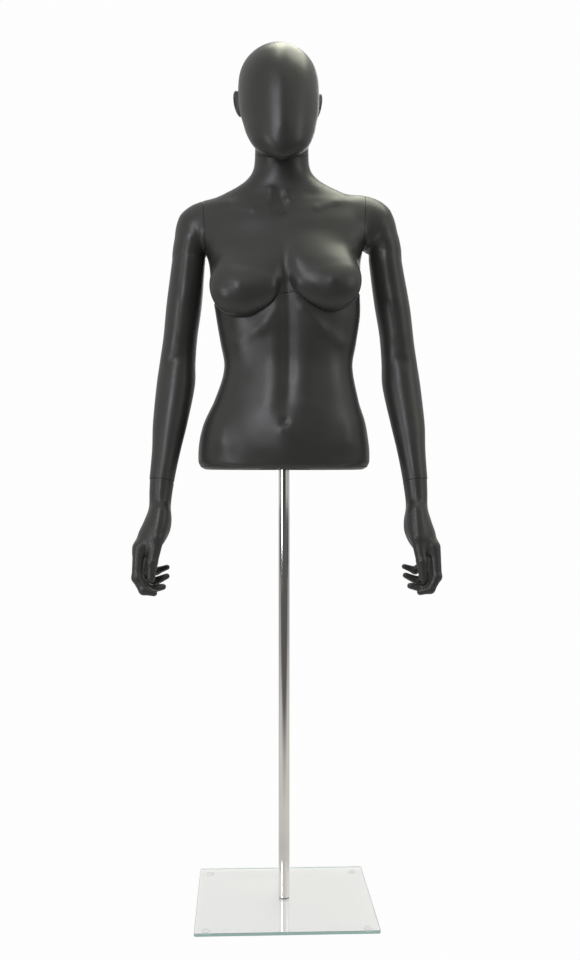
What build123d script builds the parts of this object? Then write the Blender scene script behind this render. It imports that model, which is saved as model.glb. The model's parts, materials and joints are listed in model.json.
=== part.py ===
"""Half-body female display mannequin on a pole stand with a square glass base.

Units are millimetres. +Z is up, the figure faces -Y, and the origin is on the floor under the
pole. Left and right are the figure's own, so its left side is +X.
"""

import math
import os

from build123d import *

os.makedirs("parts", exist_ok=True)

# ---------------------------------------------------------------- driving dimensions
# Base and pole
GLASS_SIDE = 350.0
GLASS_THICK = 6.0
GLASS_CORNER = 4.0
FOOT_HEIGHT = 4.0
FOOT_RADIUS = 8.0
FOOT_INSET = 22.0
POLE_RADIUS = 11.0
POLE_WALL = 1.5
BOLT_RADIUS = 4.0
RUNNING_GAP = 0.08
GASKET_THICK = 1.5

# Torso heights
RIM_Z = 876.0
SPLIT_Z = 1218.0
SHOULDER_Z = 1363.0
WALL = 4.0
BOTTOM_ROUND = 8.0
SEAM_GAP = 0.8
SPLIT_GAP = 2.4
BUST_GAP = 4.0
PEG_RADIUS = 13.0

# Lean of the ribcage, and how far each part stands to the figure's left
CHEST_ROLL = 1.8
SPLIT_ROLL = 4.0
WAIST_X = 8.5
CHEST_X = 2.0
NECK_X = -5.0

# Pole socket inside the torso
PANEL_THICK = 9.0
RECESS_DEPTH = 27.0
SOCKET_LENGTH = 285.0
POLE_ENGAGED = 195.0
COLLAR_RADIUS = 19.0
COLLAR_HEIGHT = 17.0

# Neck seam, square to a neck that leans forward
NECK_TOP = (NECK_X, -10.0, 1511.0)
NECK_LEAN = 22.0
NECK_RADIUS = 54.0
NECK_PIN_RADIUS = 8.0
HEAD_TURN = 3.5
HEAD_X = -13.0

# Shoulder seams
SHOULDER_X = 160.0
SHOULDER_Y = 14.0
SHOULDER_RISE = 4.5
SHOULDER_TILT = 3.4
ARM_WALL = 3.5
HUB_RADIUS = 10.0

# Wrist seams
WRIST_Z = 854.0
PIN_RADIUS = 5.0

glass_top = FOOT_HEIGHT + GLASS_THICK
pole_bottom = glass_top + GASKET_THICK
panel_bottom = RIM_Z + RECESS_DEPTH
pole_top = panel_bottom + POLE_ENGAGED


# ---------------------------------------------------------------- shared shapes
def oval(half_width, front, back, square=2.2):
    """Closed section curve; front and back are its Y reaches from the body's middle."""
    count = 20
    middle = (back + front) / 2
    depth = (back - front) / 2
    power = 2 / square
    points = []
    for i in range(count):
        turn = 2 * math.pi * i / count
        c, s = math.cos(turn), math.sin(turn)
        x = half_width * math.copysign(abs(c) ** power, c)
        y = middle + depth * math.copysign(abs(s) ** power, s)
        points.append((x, y))
    even_steps = [i / count for i in range(count + 1)]
    return Edge.make_spline(points, periodic=True, parameters=even_steps)


def ramp(value, low, high):
    """0 below low, 1 above high, and a smooth step between."""
    t = min(1.0, max(0.0, (value - low) / (high - low)))
    return t * t * (3 - 2 * t)


def body_plane(z, roll=0.0, shift=0.0):
    """Section plane of the trunk, rolled about the Y axis with the figure's left side up."""
    a = math.radians(roll)
    return Plane(
        origin=(shift, 0, z),
        x_dir=(math.cos(a), 0, math.sin(a)),
        z_dir=(-math.sin(a), 0, math.cos(a)),
    )


def slope(rows, i, column):
    """Change of one table column with height at row i."""
    before = rows[max(i - 1, 0)]
    after = rows[min(i + 1, len(rows) - 1)]
    return (after[column] - before[column]) / (after[0] - before[0])


def row_at(rows, z):
    """Values of a section table at any height, on a smooth curve through its rows."""
    i = max(k for k in range(len(rows) - 1) if rows[k][0] <= z)
    low, high = rows[i], rows[i + 1]
    span = high[0] - low[0]
    t = (z - low[0]) / span
    values = []
    for column in range(1, len(low)):
        leave = slope(rows, i, column) * span
        arrive = slope(rows, i + 1, column) * span
        rise = high[column] - low[column]
        bend = 3 * rise - 2 * leave - arrive
        settle = leave + arrive - 2 * rise
        values.append(low[column] + leave * t + bend * t**2 + settle * t**3)
    return values


def sway(z):
    """How far the middle of the trunk stands to the figure's left at a height."""
    waist = WAIST_X * ramp(z, 930, 1085)
    ribs = (CHEST_X - WAIST_X) * ramp(z, 1170, 1270)
    neck = (NECK_X - CHEST_X) * ramp(z, 1300, 1470)
    return waist + ribs + neck


def trunk(sections, inset=0.0, stretch=0.0):
    """Loft of the trunk, thinned by inset and lengthened at both ends by stretch."""
    bottom, top = sections[0][0], sections[-1][0]
    count = round((top - bottom) / 18)
    with BuildPart() as body:
        for i in range(count + 1):
            z = bottom + (top - bottom) * i / count
            half_width, front, back, square = row_at(sections, z)
            roll = CHEST_ROLL * ramp(z, 1090, 1230)
            shift = sway(z)
            end = stretch * ((i == count) - (i == 0))
            with BuildSketch(body_plane(z + end, roll, shift)):
                with BuildLine():
                    add(oval(half_width - inset, front + inset, back - inset, square))
                make_face()
        loft()
    return body.part


def save(part, name):
    """Labels a finished piece and writes it."""
    part.label = name
    export_step(part, f"parts/{name}.step")


# Trunk sections: height, half width, front Y, back Y, squareness
HIPS = [
    (RIM_Z, 173.0, -103, 112, 2.3),
    (920, 172.6, -107, 117, 2.3),
    (968, 163.7, -105, 108, 2.3),
    (1016, 145.0, -98, 89, 2.3),
    (1081, 129.3, -90, 74, 2.25),
    (1130, 136.6, -92, 76, 2.25),
    (1180, 144.6, -97, 82, 2.25),
    (1235, 148.8, -100, 91, 2.25),
]
CHEST = [
    (1195, 146.0, -98, 84, 2.25),
    (1243, 150.0, -100, 92, 2.25),
    (1290, 153.0, -97, 101, 2.3),
    (1318, 161.0, -91, 104, 2.3),
    (1345, 181.0, -82, 104, 2.1),
    (1370, 188.0, -74, 102, 2.0),
    (1394, 182.0, -64, 97, 2.0),
    (1410, 172.0, -58, 92, 2.0),
    (1423, 152.0, -53, 87, 2.0),
    (1436, 122.0, -50, 80, 2.0),
    (1447, 98.0, -49, 74, 2.0),
    (1460, 76.0, -50, 67, 2.0),
    (1476, 61.0, -53, 59, 2.0),
    (1496, 55.0, -58, 50, 2.0),
    (1540, 54.0, -73, 35, 2.0),
]
HEAD = [
    (1482, 19, -106, -70, 2.0),
    (1493, 37, -112, -46, 2.0),
    (1512, 55, -117, -20, 2.0),
    (1539, 67, -119, 10, 2.0),
    (1560, 72, -119, 29, 2.0),
    (1590, 78.5, -117, 52, 2.0),
    (1625, 81, -113, 70, 2.0),
    (1660, 79.5, -105, 79, 2.0),
    (1686, 72.5, -92, 75, 2.0),
    (1707, 58, -74, 61, 2.0),
    (1723, 37, -50, 38, 2.0),
    (1732, 13, -24, 12, 2.0),
]

split_plane = body_plane(SPLIT_Z, SPLIT_ROLL)
neck_lean = math.radians(NECK_LEAN)
neck_plane = Plane(
    origin=NECK_TOP, x_dir=(1, 0, 0), z_dir=(0, -math.sin(neck_lean), math.cos(neck_lean))
)


# ---------------------------------------------------------------- base and pole
def make_base():
    """Glass plate, five rubber feet, and the bolt that clamps the pole to the glass."""
    washer_thick = 1.0
    head_height = 2.4
    head_radius = 7.0
    bore = BOLT_RADIUS + 0.3
    pole_bore = POLE_RADIUS - POLE_WALL

    with BuildPart() as plate:
        with BuildSketch(Plane.XY.offset(FOOT_HEIGHT)):
            RectangleRounded(GLASS_SIDE, GLASS_SIDE, GLASS_CORNER)
            Circle(bore, mode=Mode.SUBTRACT)
        extrude(amount=GLASS_THICK)
        rims = plate.faces().filter_by(Axis.Z).edges().filter_by(GeomType.CIRCLE, reverse=True)
        chamfer(rims, 0.6)
    save(plate.part, "glass_base")

    corner = GLASS_SIDE - 2 * FOOT_INSET
    with BuildPart() as feet:
        with BuildSketch():
            with GridLocations(corner, corner, 2, 2):
                Circle(FOOT_RADIUS)
        extrude(amount=FOOT_HEIGHT, taper=6)
    save(feet.part, "bumper_feet")

    with BuildPart() as cap:
        with BuildSketch():
            Circle(POLE_RADIUS - 0.5)
        extrude(amount=FOOT_HEIGHT)
        with BuildSketch(Plane.XY.offset(FOOT_HEIGHT)):
            Circle(head_radius + 0.4)
        extrude(amount=-(head_height + 0.4), mode=Mode.SUBTRACT)
    save(cap.part, "centre_foot")

    with BuildPart() as bolt:
        with BuildSketch(Plane.XY.offset(FOOT_HEIGHT - head_height)):
            Circle(head_radius)
            RegularPolygon(3.0, 6, mode=Mode.SUBTRACT)
        extrude(amount=head_height)
        with BuildSketch(Plane.XY.offset(FOOT_HEIGHT - 1.0)):
            Circle(BOLT_RADIUS)
        extrude(amount=GLASS_THICK + GASKET_THICK + 17)
        chamfer(bolt.faces().sort_by(Axis.Z)[-1].edges(), 0.8)
    save(bolt.part, "base_bolt")

    with BuildPart() as gasket:
        with BuildSketch(Plane.XY.offset(glass_top)):
            Circle(POLE_RADIUS - 0.4)
            Circle(bore, mode=Mode.SUBTRACT)
        extrude(amount=GASKET_THICK)
    save(gasket.part, "pole_gasket")

    with BuildPart() as plug:
        with BuildSketch(Plane.XY.offset(pole_bottom)):
            Circle(pole_bore)
            Circle(BOLT_RADIUS, mode=Mode.SUBTRACT)
        extrude(amount=28)
        chamfer(plug.faces().sort_by(Axis.Z)[-1].edges(), 0.8)
    save(plug.part, "pole_nut_plug")

    with BuildPart() as pole:
        with BuildSketch(Plane.XY.offset(pole_bottom)):
            Circle(POLE_RADIUS)
            Circle(pole_bore, mode=Mode.SUBTRACT)
        extrude(amount=pole_top - pole_bottom)
        chamfer(pole.faces().sort_by(Axis.Z)[0].edges(), 0.4)
    save(pole.part, "pole")

    with BuildPart() as end_cap:
        with BuildSketch(Plane.XY.offset(pole_top - 14)):
            Circle(pole_bore)
        extrude(amount=14)
        with BuildSketch(Plane.XY.offset(pole_top)):
            Circle(POLE_RADIUS - 0.3)
        extrude(amount=washer_thick + 1)
        chamfer(end_cap.faces().sort_by(Axis.Z)[-1].edges(), 1.0)
    save(end_cap.part, "pole_end_cap")


# ---------------------------------------------------------------- height collar
def make_collar():
    """Ring that grips the pole under the torso, with its thumb screw and thrust washer."""
    flange_thick = 3.0
    washer_thick = 1.5
    top = panel_bottom - flange_thick - washer_thick
    middle = top - COLLAR_HEIGHT / 2
    screw_radius = 3.0
    knob_radius = 8.5

    with BuildPart() as ring:
        with BuildSketch(Plane.XY.offset(top - COLLAR_HEIGHT)):
            Circle(COLLAR_RADIUS)
            Circle(POLE_RADIUS + RUNNING_GAP, mode=Mode.SUBTRACT)
        extrude(amount=COLLAR_HEIGHT)
        ends = ring.edges().filter_by(GeomType.CIRCLE).group_by(SortBy.RADIUS)[-1]
        chamfer(ends, 0.8)
        with BuildSketch(Plane(origin=(0, 0, middle), x_dir=(1, 0, 0), z_dir=(0, 1, 0))):
            Circle(screw_radius + RUNNING_GAP)
        extrude(amount=COLLAR_RADIUS + 1, mode=Mode.SUBTRACT)
    save(ring.part, "height_collar")

    tip = POLE_RADIUS + 0.3
    reach = COLLAR_RADIUS + 4
    with BuildPart() as screw:
        with BuildSketch(Plane(origin=(0, tip, middle), x_dir=(1, 0, 0), z_dir=(0, 1, 0))):
            Circle(screw_radius)
        extrude(amount=reach + 9 - tip)
        chamfer(screw.faces().sort_by(Axis.Y)[0].edges(), 0.6)
    save(screw.part, "collar_screw")

    with BuildPart() as knob:
        with BuildSketch(Plane(origin=(0, reach, middle), x_dir=(1, 0, 0), z_dir=(0, 1, 0))):
            Circle(knob_radius)
            with PolarLocations(knob_radius + 0.6, 10):
                Circle(1.5, mode=Mode.SUBTRACT)
        extrude(amount=10)
        with BuildSketch(Plane(origin=(0, reach, middle), x_dir=(1, 0, 0), z_dir=(0, 1, 0))):
            Circle(screw_radius)
        extrude(amount=9, mode=Mode.SUBTRACT)
    save(knob.part, "collar_knob")

    with BuildPart() as thrust:
        with BuildSketch(Plane.XY.offset(top)):
            Circle(COLLAR_RADIUS - 1)
            Circle(POLE_RADIUS + 0.3, mode=Mode.SUBTRACT)
        extrude(amount=washer_thick)
    save(thrust.part, "thrust_washer")


# ---------------------------------------------------------------- lower torso
def slab(sections, plane, thickness, clearance):
    """Plate that fills the inside of a trunk shell, square to the plane given."""
    with BuildPart() as plate:
        add(trunk(sections, WALL + clearance, 1.0))
        split(bisect_by=plane, keep=Keep.TOP)
        split(bisect_by=plane.offset(thickness), keep=Keep.BOTTOM)
    return plate.part


def make_hips():
    """Lower torso shell, its bottom board, the pole socket and the upper joint board."""
    with BuildPart() as cavity:
        add(trunk(HIPS, WALL, 1.0))
        split(bisect_by=Plane.XY.offset(RIM_Z + WALL), keep=Keep.TOP)
    with BuildPart() as shell:
        add(trunk(HIPS))
        fillet(shell.faces().sort_by(Axis.Z)[0].edges(), BOTTOM_ROUND)
        split(bisect_by=split_plane, keep=Keep.BOTTOM)
        add(cavity.part, mode=Mode.SUBTRACT)
        z, half_width, front, back, square = HIPS[0]
        lip = BOTTOM_ROUND + 5
        with BuildSketch(Plane.XY.offset(z)):
            with BuildLine():
                add(oval(half_width - lip, front + lip, back - lip, square))
            make_face()
        extrude(amount=WALL + 1, mode=Mode.SUBTRACT)
    save(shell.part, "lower_torso")

    tube_outer = POLE_RADIUS + RUNNING_GAP + 1.5
    flange_radius = 36.0
    flange_thick = 3.0
    screw_circle = 29.0

    with BuildPart() as panel:
        add(slab(HIPS, Plane.XY.offset(panel_bottom), PANEL_THICK, 0.5))
        with BuildSketch(Plane.XY.offset(panel_bottom)):
            Circle(tube_outer + 0.3)
            with PolarLocations(screw_circle, 4, 45):
                Circle(2.0)
        extrude(amount=PANEL_THICK, mode=Mode.SUBTRACT)
    save(panel.part, "bottom_board")

    with BuildPart() as socket:
        with BuildSketch(Plane.XY.offset(panel_bottom - flange_thick)):
            Circle(flange_radius)
        extrude(amount=flange_thick)
        with BuildSketch(Plane.XY.offset(panel_bottom)):
            Circle(tube_outer)
        extrude(amount=SOCKET_LENGTH)
        with BuildSketch(Plane.XY.offset(panel_bottom - flange_thick)):
            Circle(POLE_RADIUS + RUNNING_GAP)
        extrude(amount=flange_thick + SOCKET_LENGTH, mode=Mode.SUBTRACT)
        rim = socket.faces().filter_by(Axis.Z).sort_by(Axis.Z)[0]
        with Locations(Plane(rim).location):
            with PolarLocations(screw_circle, 4, 45):
                CounterSinkHole(2.1, 3.8)
        chamfer(rim.outer_wire().edges(), 0.8)
    save(socket.part, "pole_socket")

    with BuildPart() as screws:
        with PolarLocations(screw_circle, 4, 45):
            with Locations((0, 0, panel_bottom - flange_thick)):
                Cone(3.6, 1.9, 1.9, align=(Align.CENTER, Align.CENTER, Align.MIN))
                Cylinder(1.9, 11, align=(Align.CENTER, Align.CENTER, Align.MIN))
    save(screws.part, "socket_screws")

    board_thick = 9.0
    deck = split_plane.offset(-board_thick - 2)
    with BuildPart() as joint_board:
        add(slab(HIPS, deck, board_thick, 0.5))
        with BuildSketch(deck):
            Circle(BOLT_RADIUS + 0.2)
        extrude(amount=board_thick, mode=Mode.SUBTRACT)
    save(joint_board.part, "hip_joint_board")

    with BuildPart() as peg:
        with BuildSketch(split_plane.offset(-2)):
            Circle(26)
        extrude(amount=3)
        with BuildSketch(split_plane.offset(1)):
            Circle(PEG_RADIUS)
        extrude(amount=32)
        chamfer(peg.faces().sort_by(Axis.Z)[-1].edges(), 3)
        with BuildSketch(split_plane.offset(-2)):
            Circle(BOLT_RADIUS)
        extrude(amount=22, mode=Mode.SUBTRACT)
    save(peg.part, "chest_peg")

    with BuildPart() as bolt:
        with BuildSketch(deck.offset(-3)):
            RegularPolygon(7.5, 6)
        extrude(amount=3)
        with BuildSketch(deck):
            Circle(BOLT_RADIUS)
        extrude(amount=board_thick + 19)
    save(bolt.part, "peg_bolt")


# ---------------------------------------------------------------- upper torso
def breasts(inset=0.0):
    """Pair of rounded solids that stand out of the ribcage and overhang the split."""
    apart = 87.0
    radius = 63.0
    with BuildPart() as pair:
        for side in (-1, 1):
            lift = side * apart * math.tan(math.radians(SPLIT_ROLL))
            with Locations((side * apart + 1, -69, 1240 + lift)):
                Sphere(radius - inset)
    return pair.part


def shoulder_plane(side, out=0.0):
    """Seam plane of one shoulder, facing away from the body; out moves it outwards."""
    tilt = math.radians(SHOULDER_TILT)
    normal = Vector(side * math.cos(tilt), 0, -math.sin(tilt))
    middle = Vector(side * SHOULDER_X, SHOULDER_Y, SHOULDER_Z + side * SHOULDER_RISE)
    return Plane(origin=middle + normal * out, x_dir=(0, side, 0), z_dir=normal)


def make_chest():
    """Upper torso shell with the boards and sockets that close its openings."""
    with BuildPart() as below:
        add(trunk(HIPS, -BUST_GAP))
        split(bisect_by=split_plane, keep=Keep.BOTTOM)
    with BuildPart() as bust:
        add(breasts())
        add(below.part, mode=Mode.SUBTRACT)
    with BuildPart() as solid:
        add(trunk(CHEST))
        split(bisect_by=split_plane.offset(SPLIT_GAP), keep=Keep.TOP)
        add(bust.part)
        split(bisect_by=neck_plane, keep=Keep.BOTTOM)
        for side in (-1, 1):
            split(bisect_by=shoulder_plane(side), keep=Keep.BOTTOM)
    with BuildPart() as hollow:
        add(breasts(WALL))
        split(bisect_by=split_plane.offset(SPLIT_GAP + WALL), keep=Keep.TOP)
    with BuildPart() as shell:
        add(solid.part)
        add(trunk(CHEST, WALL), mode=Mode.SUBTRACT)
        add(hollow.part, mode=Mode.SUBTRACT)
    save(shell.part, "upper_torso")

    board_thick = 9.0
    peg_bore = PEG_RADIUS + RUNNING_GAP
    floor = split_plane.offset(SPLIT_GAP + 1)
    with BuildPart() as board:
        add(slab(CHEST, floor, board_thick, 0.5))
        with BuildSketch(floor):
            Circle(peg_bore + 3)
        extrude(amount=board_thick, mode=Mode.SUBTRACT)
    save(board.part, "chest_joint_board")

    with BuildPart() as sleeve:
        with BuildSketch(floor):
            Circle(peg_bore + 2.5)
        extrude(amount=34)
        with BuildSketch(floor.offset(board_thick)):
            Circle(peg_bore + 14)
        extrude(amount=3)
        with BuildSketch(floor):
            Circle(peg_bore)
        extrude(amount=34, mode=Mode.SUBTRACT)
    save(sleeve.part, "peg_sleeve")

    depth = 8.0
    hub_bore = HUB_RADIUS + RUNNING_GAP
    for side, name in ((1, "left"), (-1, "right")):
        seat = shoulder_plane(side, -depth - 1)
        with BuildPart() as armhole:
            add(slab(CHEST, seat, depth, 0.5))
            split(bisect_by=Plane.XY.offset(SHOULDER_Z - 50), keep=Keep.TOP)
            with BuildSketch(seat):
                Circle(hub_bore)
            extrude(amount=depth, mode=Mode.SUBTRACT)
        save(armhole.part, f"{name}_shoulder_socket")

    seat = neck_plane.offset(-14)
    with BuildPart() as plug:
        add(slab(CHEST, seat, 12, 0.5))
        with BuildSketch(seat):
            Circle(NECK_PIN_RADIUS)
        extrude(amount=12, mode=Mode.SUBTRACT)
    save(plug.part, "neck_plug")

    with BuildPart() as pin:
        with BuildSketch(seat):
            Circle(NECK_PIN_RADIUS)
        extrude(amount=46)
        chamfer(pin.faces().sort_by(Axis.Z)[-1].edges(), 1.5)
    save(pin.part, "neck_pin")


# ---------------------------------------------------------------- head and neck
def skull(inset=0.0):
    """Egg of the head, turned a little to the figure's left, thinned by inset."""
    turn = math.radians(HEAD_TURN)
    aside = (math.cos(turn), math.sin(turn), 0)
    bottom = HEAD[0][0] + inset
    top = HEAD[-1][0] - inset
    with BuildPart() as egg:
        for z, half_width, front, back, square in HEAD:
            if half_width - inset < 4:
                continue
            level = min(max(z, bottom), top)
            with BuildSketch(Plane(origin=(HEAD_X, 0, level), x_dir=aside)):
                with BuildLine():
                    add(oval(half_width - inset, front + inset, back - inset, square))
                make_face()
        loft()
    return egg.part


def make_head():
    """Hollow egg-shaped head with ears and a short length of neck, and its bearing plate."""
    seam = neck_plane.offset(SEAM_GAP)
    stub = 56.0
    turn = math.radians(HEAD_TURN)

    with BuildPart() as head:
        add(skull())
        with BuildSketch(seam):
            Circle(NECK_RADIUS)
        extrude(amount=stub)
        for side in (-1, 1):
            out = Vector(side * math.cos(turn), side * math.sin(turn), 0)
            along = Vector(-math.sin(turn), math.cos(turn), 0)
            root = Vector(HEAD_X, 0, 1620) + out * 66 + along * 12
            flare = Plane(origin=root, x_dir=along, z_dir=out + along * 0.35)
            with BuildSketch(flare):
                Ellipse(15, 28, rotation=8 * side)
            extrude(amount=15)
        split(bisect_by=seam, keep=Keep.TOP)
    with BuildPart() as cavity:
        add(skull(WALL))
        with BuildSketch(seam.offset(-1)):
            Circle(NECK_RADIUS - WALL)
        extrude(amount=stub)
    with BuildPart() as shell:
        add(head.part)
        add(cavity.part, mode=Mode.SUBTRACT)
    save(shell.part, "head")

    with BuildPart() as plate:
        with BuildSketch(seam.offset(2)):
            Circle(NECK_RADIUS - WALL - 0.5)
            Circle(NECK_PIN_RADIUS + RUNNING_GAP, mode=Mode.SUBTRACT)
        extrude(amount=12)
    save(plate.part, "head_socket")


# ---------------------------------------------------------------- arms and hands
# Arm sections of the right arm: height, distance out, Y of the middle, half width, half depth
ARM = [
    (835, 247.5, -24, 24.2, 26),
    (875, 242.3, -17, 26.0, 28),
    (919, 236.2, -8, 29.2, 30),
    (968, 230.2, 3, 34.6, 34),
    (1049, 219.6, 22, 39.0, 40),
    (1097, 216.0, 28, 36.3, 39),
    (1146, 210.5, 27, 34.7, 39),
    (1211, 202.6, 22, 36.0, 41),
    (1302, 194.0, 16, 32.5, 43),
]
# Cap of the shoulder: angle turned from the seam plane, outer reach, half depth
CAP = [(0, 113, 47), (14, 109, 47), (28, 101, 47), (46, 84, 46), (60, 75, 45), (80, 71, 44)]


def spread(side, z):
    """How much further out the left arm hangs than the right at a height."""
    if side < 0:
        return 0.0
    return 14 + 8 * ramp(1340 - z, 0, 190) - 4 * ramp(980 - z, 0, 170) - 9 * ramp(820 - z, 0, 110)


def limb_point(side, out, y, z):
    """Point of a limb, given for the right side and carried to either side."""
    return Vector(side * (out + spread(side, z)), y, z)


def wrist_plane(side):
    """Seam plane of one wrist, facing down the forearm."""
    high = limb_point(side, 238.0, -11, 905)
    low = limb_point(side, 249.5, -27, 815)
    middle = high + (low - high) * ((high.Z - WRIST_Z) / (high.Z - low.Z))
    return Plane(origin=middle, x_dir=(0, side, 0), z_dir=low - high)


def arm_solid(side, inset=0.0):
    """Arm that runs a little past both of its seams, thinned by inset."""
    tilt = math.radians(SHOULDER_TILT)
    armpit = shoulder_plane(side).origin - Vector(side * math.sin(tilt), 0, math.cos(tilt)) * 53
    past_seam = 9.0 if inset else 6.0
    past_wrist = 5.0 if inset else 0.0
    inner_reach = 3.0
    low, high = ARM[0][0], ARM[-1][0]
    levels = 12
    with BuildPart() as arm:
        for turn in (0, 20, 40, 60):
            outer_reach, half_depth = row_at(CAP, turn)
            a = tilt + math.radians(turn)
            if side > 0:
                outer_reach += spread(side, SHOULDER_Z) - 6 * math.cos(a) ** 2
            along = Vector(side * math.sin(a), 0, math.cos(a))
            normal = Vector(side * math.cos(a), 0, -math.sin(a))
            middle = armpit + along * (inner_reach + outer_reach) / 2
            if turn == 0:
                middle = middle - normal * past_seam
            with BuildSketch(Plane(origin=middle, x_dir=along, z_dir=normal)):
                Ellipse((outer_reach - inner_reach) / 2 - inset, half_depth - inset)
        for i in range(levels + 1):
            z = high + (low - high) * i / levels
            out, y, half_width, half_depth = row_at(ARM, z)
            middle = limb_point(side, out, y, z)
            if i == levels:
                middle = middle - Vector(0, 0, past_wrist)
            with BuildSketch(Plane(origin=middle, x_dir=(side, 0, 0), z_dir=(0, 0, -1))):
                Ellipse(half_width - inset, half_depth - inset)
        loft()
    return arm.part


def finger(side, path, radii):
    """Tapered tube along a bent finger, with a rounded tip."""
    points = [limb_point(side, out, y, z) for out, y, z in path]
    with BuildPart() as tube:
        for i, (point, radius) in enumerate(zip(points, radii)):
            before = points[max(i - 1, 0)]
            after = points[min(i + 1, len(points) - 1)]
            with BuildSketch(Plane(origin=point, x_dir=(0, 1, 0), z_dir=after - before)):
                Circle(radius)
        loft()
    return tube.part


# Finger paths of the right hand: distance out, Y and height of each joint, then the radii
FINGERS = [
    ([(289, -56, 735), (294, -64, 700), (292, -69, 660), (279, -71, 637), (262, -69, 632),
      (257, -69, 632)], [8, 9.5, 9, 8, 6.5, 3]),
    ([(290, -38, 735), (297, -42, 700), (291, -45, 655), (270, -46, 637), (245, -46, 641),
      (239, -46, 643)], [8, 9.8, 9, 8, 6.5, 3]),
    ([(288, -20, 738), (293, -22, 704), (285, -22, 664), (264, -23, 648), (238, -24, 659),
      (232, -24, 662)], [8, 9.3, 8.8, 7.8, 6.3, 3]),
    ([(282, -3, 745), (285, 0, 717), (277, 2, 684), (260, 2, 668), (239, 1, 675),
      (233, 1, 678)], [7, 8.3, 7.6, 6.8, 5.6, 2.5]),
]
THUMB = ([(252, -42, 785), (253, -58, 748), (259, -68, 712), (263, -72, 680), (263, -73, 660),
          (263, -73, 655)], [13, 13, 10.5, 9.5, 8, 4])
# Palm sections of the right hand: height, distance out, Y, half width, half depth
PALM = [
    (835, 247.5, -24, 24.2, 26),
    (805, 251.0, -28, 22.8, 26),
    (775, 262.0, -31, 24.0, 33),
    (745, 277.0, -31, 21.0, 40),
    (712, 291.0, -31, 13.5, 42),
    (698, 293.0, -31, 8.0, 39),
]


def make_limbs(side, name):
    """One arm shell with its shoulder plug, hub and wrist pin, and the hand it carries."""
    wrist = wrist_plane(side)
    with BuildPart() as arm:
        add(arm_solid(side))
        split(bisect_by=wrist, keep=Keep.BOTTOM)
        split(bisect_by=shoulder_plane(side, SEAM_GAP), keep=Keep.TOP)
        add(arm_solid(side, ARM_WALL), mode=Mode.SUBTRACT)
    save(arm.part, f"{name}_arm")

    seam = shoulder_plane(side, SEAM_GAP)
    with BuildPart() as plug:
        with BuildSketch(seam.offset(2)):
            Ellipse(37, 40)
            Circle(HUB_RADIUS, mode=Mode.SUBTRACT)
        extrude(amount=8)
    save(plug.part, f"{name}_arm_plug")

    with BuildPart() as hub:
        with BuildSketch(seam.offset(-16)):
            Circle(HUB_RADIUS)
        extrude(amount=28)
        chamfer(hub.faces().sort_by(Axis.X)[0 if side > 0 else -1].edges(), 1.5)
        with BuildSketch(seam.offset(10)):
            Circle(HUB_RADIUS + 8)
        extrude(amount=3)
    save(hub.part, f"{name}_shoulder_hub")

    with BuildPart() as cuff:
        with BuildSketch(wrist.offset(-11)):
            Circle(19)
            Circle(PIN_RADIUS, mode=Mode.SUBTRACT)
        extrude(amount=10)
    save(cuff.part, f"{name}_wrist_plug")

    with BuildPart() as pin:
        with BuildSketch(wrist.offset(-16)):
            Circle(PIN_RADIUS)
        extrude(amount=36)
        chamfer(pin.faces().sort_by(Axis.Z)[0].edges(), 1.0)
    save(pin.part, f"{name}_wrist_pin")

    with BuildPart() as hand:
        for z, out, y, half_width, half_depth in PALM:
            middle = limb_point(side, out, y, z)
            at = Plane(origin=middle, x_dir=(side, 0, 0), z_dir=(0, 0, -1))
            with BuildSketch(at):
                Ellipse(half_width, half_depth)
        loft()
        for path, radii in [*FINGERS, THUMB]:
            add(finger(side, path, radii))
        fore = arm_solid(side)
        add(fore)
        split(bisect_by=wrist.offset(SEAM_GAP), keep=Keep.TOP)
        with BuildSketch(wrist):
            Circle(PIN_RADIUS + RUNNING_GAP)
        extrude(amount=24, mode=Mode.SUBTRACT)
    save(hand.part, f"{name}_hand")


make_base()
make_collar()
make_hips()
make_chest()
make_head()
for arm_side, arm_name in ((1, "left"), (-1, "right")):
    make_limbs(arm_side, arm_name)
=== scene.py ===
"""Looks of the half-body display mannequin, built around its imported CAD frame.

The figure is modelled as smooth distance fields in millimetres, meshed, cut at the real seams
and then scaled to metres. +Z is up and the figure faces -Y; its own left side is +X.
"""

import json
import math

import bmesh
import bpy
import numpy as np
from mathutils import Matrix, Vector


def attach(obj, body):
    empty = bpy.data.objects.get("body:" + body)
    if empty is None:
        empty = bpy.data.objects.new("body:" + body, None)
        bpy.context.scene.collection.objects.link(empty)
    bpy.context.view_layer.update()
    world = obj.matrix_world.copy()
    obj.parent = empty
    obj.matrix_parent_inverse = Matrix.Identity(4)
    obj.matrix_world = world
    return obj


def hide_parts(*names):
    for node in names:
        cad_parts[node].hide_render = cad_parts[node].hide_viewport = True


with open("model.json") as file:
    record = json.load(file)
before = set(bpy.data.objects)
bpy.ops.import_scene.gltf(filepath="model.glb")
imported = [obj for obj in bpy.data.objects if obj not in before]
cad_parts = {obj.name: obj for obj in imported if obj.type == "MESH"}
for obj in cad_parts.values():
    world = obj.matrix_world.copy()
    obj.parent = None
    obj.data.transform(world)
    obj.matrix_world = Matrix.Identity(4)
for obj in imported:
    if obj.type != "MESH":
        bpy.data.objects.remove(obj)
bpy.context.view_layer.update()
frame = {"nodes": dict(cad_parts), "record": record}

MM = 0.001

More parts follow.
